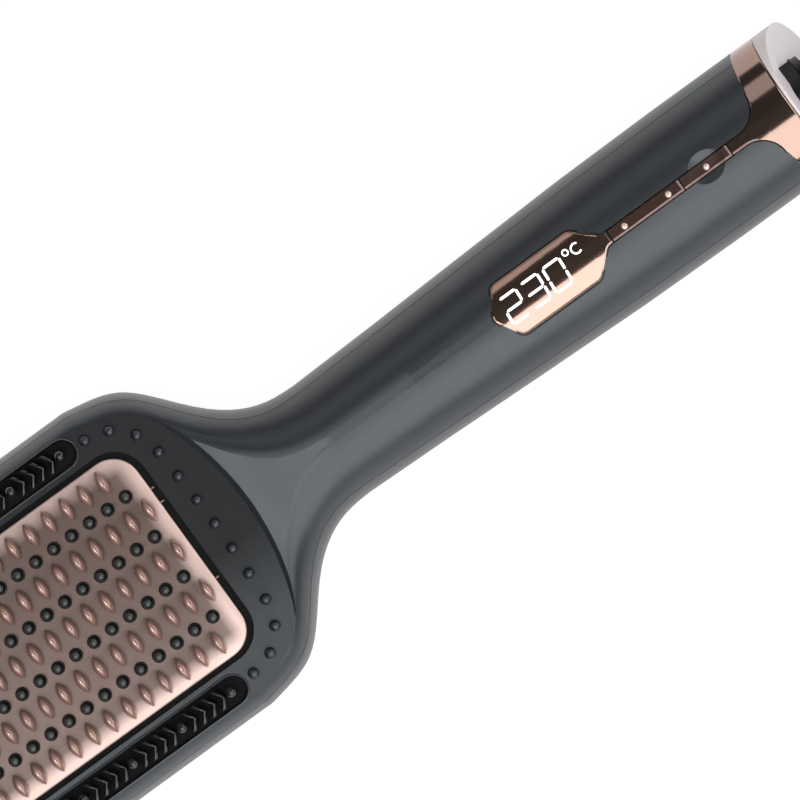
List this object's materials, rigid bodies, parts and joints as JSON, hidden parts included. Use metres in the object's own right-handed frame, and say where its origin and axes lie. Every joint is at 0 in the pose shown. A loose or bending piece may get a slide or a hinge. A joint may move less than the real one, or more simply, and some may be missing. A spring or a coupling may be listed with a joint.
{
  "type": "heated styling brush",
  "caption": "Heated paddle hair brush with a rose toothed plate, display window, key strip and swivel cord outlet.",
  "frame": {"origin": "centre of the brush's length and width on its flat underside", "axes": "+X from the tip of the head to the cord outlet, +Z out of the toothed plate"},
  "size_m": [0.301, 0.0782, 0.0313],
  "materials": {
    "housing_grey": "satin graphite grey",
    "rose_plate": "satin rose coating",
    "rose_trim": "polished rose-gold plating",
    "bright_trim": "polished",
    "display_glass": "rose mirror coating",
    "end_pale": "pale mauve-grey, half gloss",
    "black_heatproof": "black, half matt",
    "guard_grey": "dark grey, satin",
    "black_outlet": "black, fine grain",
    "screw_steel": "bright zinc",
    "heater_ceramic": "dull white",
    "shield_mica": "pressed mica",
    "fuse_metal": "plain",
    "board_green": "solder mask",
    "component_black": "moulded",
    "contact_brass": "turned",
    "lead_insulation": "soft insulation"
  },
  "bodies": {
    "brush": {"front_shell": "housing_grey", "back_shell": "housing_grey", "heating_plate": "rose_plate", "trim_ring": "rose_trim", "display_lens": "display_glass", "end_plate": "end_pale", "plate_frame": "black_heatproof", "bristle_strips": "black_heatproof", "side_comb_left": "black_heatproof", "side_comb_right": "black_heatproof", "guard_studs": "guard_grey", "swivel_bush": "black_outlet", "housing_screws": "screw_steel", "clamp_screws": "screw_steel", "board_screws": "screw_steel", "rocker_pivot": "screw_steel", "heater_clamp": "screw_steel", "heating_bars": "heater_ceramic", "thermistor": "heater_ceramic", "heat_shield": "shield_mica", "thermal_fuse": "fuse_metal", "control_board": "board_green", "led_display": "component_black", "push_switches": "component_black", "contact_socket": "component_black", "heater_leads": "lead_insulation", "sensor_leads": "lead_insulation", "mains_leads": "lead_insulation"},
    "temperature_key": {"temperature_rocker": "rose_trim", "rocker_dots": "bright_trim"},
    "power_button": {"power_key": "rose_trim", "power_dot": "bright_trim"},
    "cord_swivel": {"swivel_collar": "black_outlet", "swivel_clip": "black_outlet", "contact_pin": "contact_brass"}
  },
  "joints": [
    {"name": "temperature_tilt", "type": "hinge", "parent": "brush", "child": "temperature_key", "pos_m": [0.08872, 0, 0.0241], "axis": [0, 1, 0], "range_deg": [-2.5, 2.5], "stiffness_Nm_per_rad": 0.08},
    {"name": "power_press", "type": "slide", "parent": "brush", "child": "power_button", "axis": [0, 0, -1], "range_m": [0, 0.0005], "stiffness_N_per_m": 500},
    {"name": "cord_turn", "type": "hinge", "parent": "brush", "child": "cord_swivel", "pos_m": [0.1365, 0, 0.015], "axis": [1, 0, 0], "continuous": true}
  ]
}
